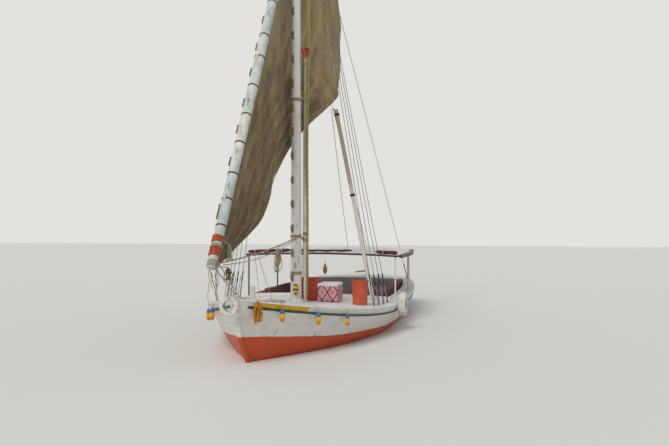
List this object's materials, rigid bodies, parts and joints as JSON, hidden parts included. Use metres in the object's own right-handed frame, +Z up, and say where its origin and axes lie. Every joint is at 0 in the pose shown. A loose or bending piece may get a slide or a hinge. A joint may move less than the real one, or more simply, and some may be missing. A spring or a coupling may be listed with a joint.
{
  "type": "felucca",
  "caption": "Open river sailing boat with a decked bow, shaded passenger well, short mast, long lateen yard with its brailed sail, stays, rudder and tiller",
  "frame": {"origin": "on the waterline, amidships on the centreline", "axes": "+X towards the bow, +Y to port, +Z up; z = 0 is the surface of the water"},
  "size_m": [14.1893, 4.8934, 18.3125],
  "materials": {
    "awning_paint": "satin",
    "bare_wood": "matte",
    "brass": "brushed",
    "canvas": "matte",
    "cushion_cloth": "matte",
    "float_plastic": "gloss",
    "galvanised_steel": "brushed",
    "green_paint": "satin",
    "maroon_cloth": "matte",
    "mast_paint": "matte",
    "orange_cloth": "matte",
    "orange_plastic": "matte",
    "painted_hull": "satin",
    "painted_tyre": "matte",
    "painted_wood": "matte",
    "rope": "matte",
    "sailcloth": "matte",
    "spar_wood": "matte",
    "white_paint": "satin",
    "wire": "brushed",
    "yard_paint": "matte"
  },
  "bodies": {
    "hull": {"afterdeck": "white_paint", "awning_canopy": "canvas", "awning_hoops": "awning_paint", "awning_posts": "awning_paint", "awning_rails": "awning_paint", "awning_rolls": "maroon_cloth", "backbone": "painted_hull", "backstay": "wire", "bench_pads": "cushion_cloth", "benches": "bare_wood", "bitt": "galvanised_steel", "bolsters": "cushion_cloth", "bow_tyre": "painted_tyre", "chain_plates": "galvanised_steel", "coaming": "white_paint", "fenders": "float_plastic", "floor_timbers": "painted_wood", "foredeck": "white_paint", "gudgeons": "galvanised_steel", "hound_band": "galvanised_steel", "hull_shell": "painted_hull", "lantern": "brass", "mast": "mast_paint", "mast_collar": "mast_paint", "mast_float": "float_plastic", "pole": "spar_wood", "pole_chocks": "mast_paint", "pouffe": "cushion_cloth", "prop": "spar_wood", "ribs": "painted_wood", "rigging_screws": "galvanised_steel", "rope_coil": "rope", "rope_hank": "rope", "round_bin": "orange_plastic", "rub_strakes": "green_paint", "shrouds_port": "wire", "shrouds_starboard": "wire", "side_decks": "white_paint", "side_tyre": "painted_tyre", "sole": "bare_wood", "square_bin": "orange_plastic", "table": "bare_wood"},
    "lateen": {"yard": "yard_paint", "yard_wraps": "orange_cloth", "parrel": "rope", "sail": "sailcloth"},
    "steering": {"rudder": "painted_hull", "pintles": "galvanised_steel", "tiller": "bare_wood"}
  },
  "joints": [
    {"name": "yard_swing", "type": "hinge", "parent": "hull", "child": "lateen", "pos_m": [2.354, 0, 10], "axis": [0, 0, 1], "range_deg": [-2.5, 3.9]},
    {"name": "rudder_turn", "type": "hinge", "parent": "hull", "child": "steering", "pos_m": [-6.3, 0, 0], "axis": [0, 0, 1], "range_deg": [-38, 38]}
  ]
}
